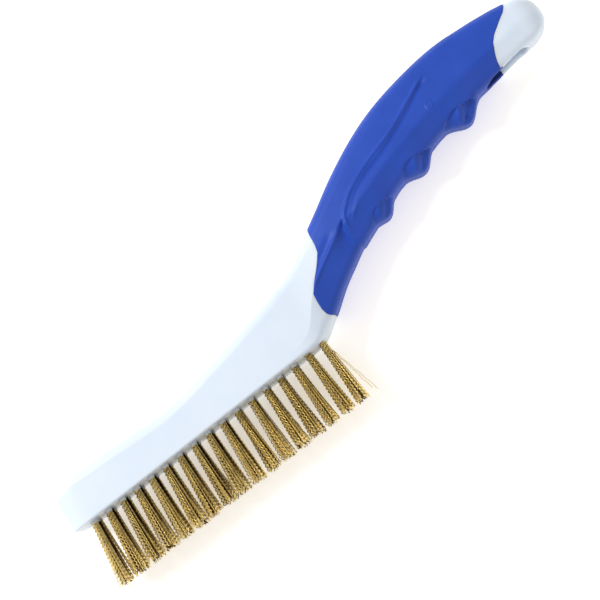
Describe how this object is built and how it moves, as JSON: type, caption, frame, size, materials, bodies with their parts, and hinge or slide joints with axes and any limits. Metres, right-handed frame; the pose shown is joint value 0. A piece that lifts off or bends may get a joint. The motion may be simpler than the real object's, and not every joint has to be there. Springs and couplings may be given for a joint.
{
  "type": "wire brush",
  "caption": "Hand wire brush with a curved moulded handle, soft finger grip, hang slot in the tail and rows of crimped brass wire tufts anchored in the head.",
  "frame": {"origin": "centre of the footprint of the brush as it lies on its side, at the surface it lies on", "axes": "+X along the bristle face from the head's nose to the tail, -Y the way the bristles point, +Z the brush's thickness, up from the side it lies on"},
  "size_m": [0.2739, 0.094, 0.0222],
  "materials": {
    "white_plastic": "smooth satin moulding",
    "blue_rubber": "soft over-mould, fine matt texture",
    "brass_wire": "crimped, brass-plated wire"
  },
  "bodies": {
    "root": {"grip": "blue_rubber", "handle_core": "white_plastic", "tuft_r1_01": "brass_wire", "tuft_r1_02": "brass_wire", "tuft_r1_03": "brass_wire", "tuft_r1_04": "brass_wire", "tuft_r1_05": "brass_wire", "tuft_r1_06": "brass_wire", "tuft_r1_07": "brass_wire", "tuft_r1_08": "brass_wire", "tuft_r1_09": "brass_wire", "tuft_r1_10": "brass_wire", "tuft_r1_11": "brass_wire", "tuft_r1_12": "brass_wire", "tuft_r1_13": "brass_wire", "tuft_r1_14": "brass_wire", "tuft_r1_15": "brass_wire", "tuft_r1_16": "brass_wire", "tuft_r1_17": "brass_wire", "tuft_r2_01": "brass_wire", "tuft_r2_02": "brass_wire", "tuft_r2_03": "brass_wire", "tuft_r2_04": "brass_wire", "tuft_r2_05": "brass_wire", "tuft_r2_06": "brass_wire", "tuft_r2_07": "brass_wire", "tuft_r2_08": "brass_wire", "tuft_r2_09": "brass_wire", "tuft_r2_10": "brass_wire", "tuft_r2_11": "brass_wire", "tuft_r2_12": "brass_wire", "tuft_r2_13": "brass_wire", "tuft_r2_14": "brass_wire", "tuft_r2_15": "brass_wire", "tuft_r2_16": "brass_wire", "tuft_r2_17": "brass_wire", "tuft_r3_01": "brass_wire", "tuft_r3_02": "brass_wire", "tuft_r3_03": "brass_wire", "tuft_r3_04": "brass_wire", "tuft_r3_05": "brass_wire", "tuft_r3_06": "brass_wire", "tuft_r3_07": "brass_wire", "tuft_r3_08": "brass_wire", "tuft_r3_09": "brass_wire", "tuft_r3_10": "brass_wire", "tuft_r3_11": "brass_wire", "tuft_r3_12": "brass_wire", "tuft_r3_13": "brass_wire", "tuft_r3_14": "brass_wire", "tuft_r3_15": "brass_wire", "tuft_r3_16": "brass_wire", "tuft_r3_17": "brass_wire"}
  },
  "joints": []
}
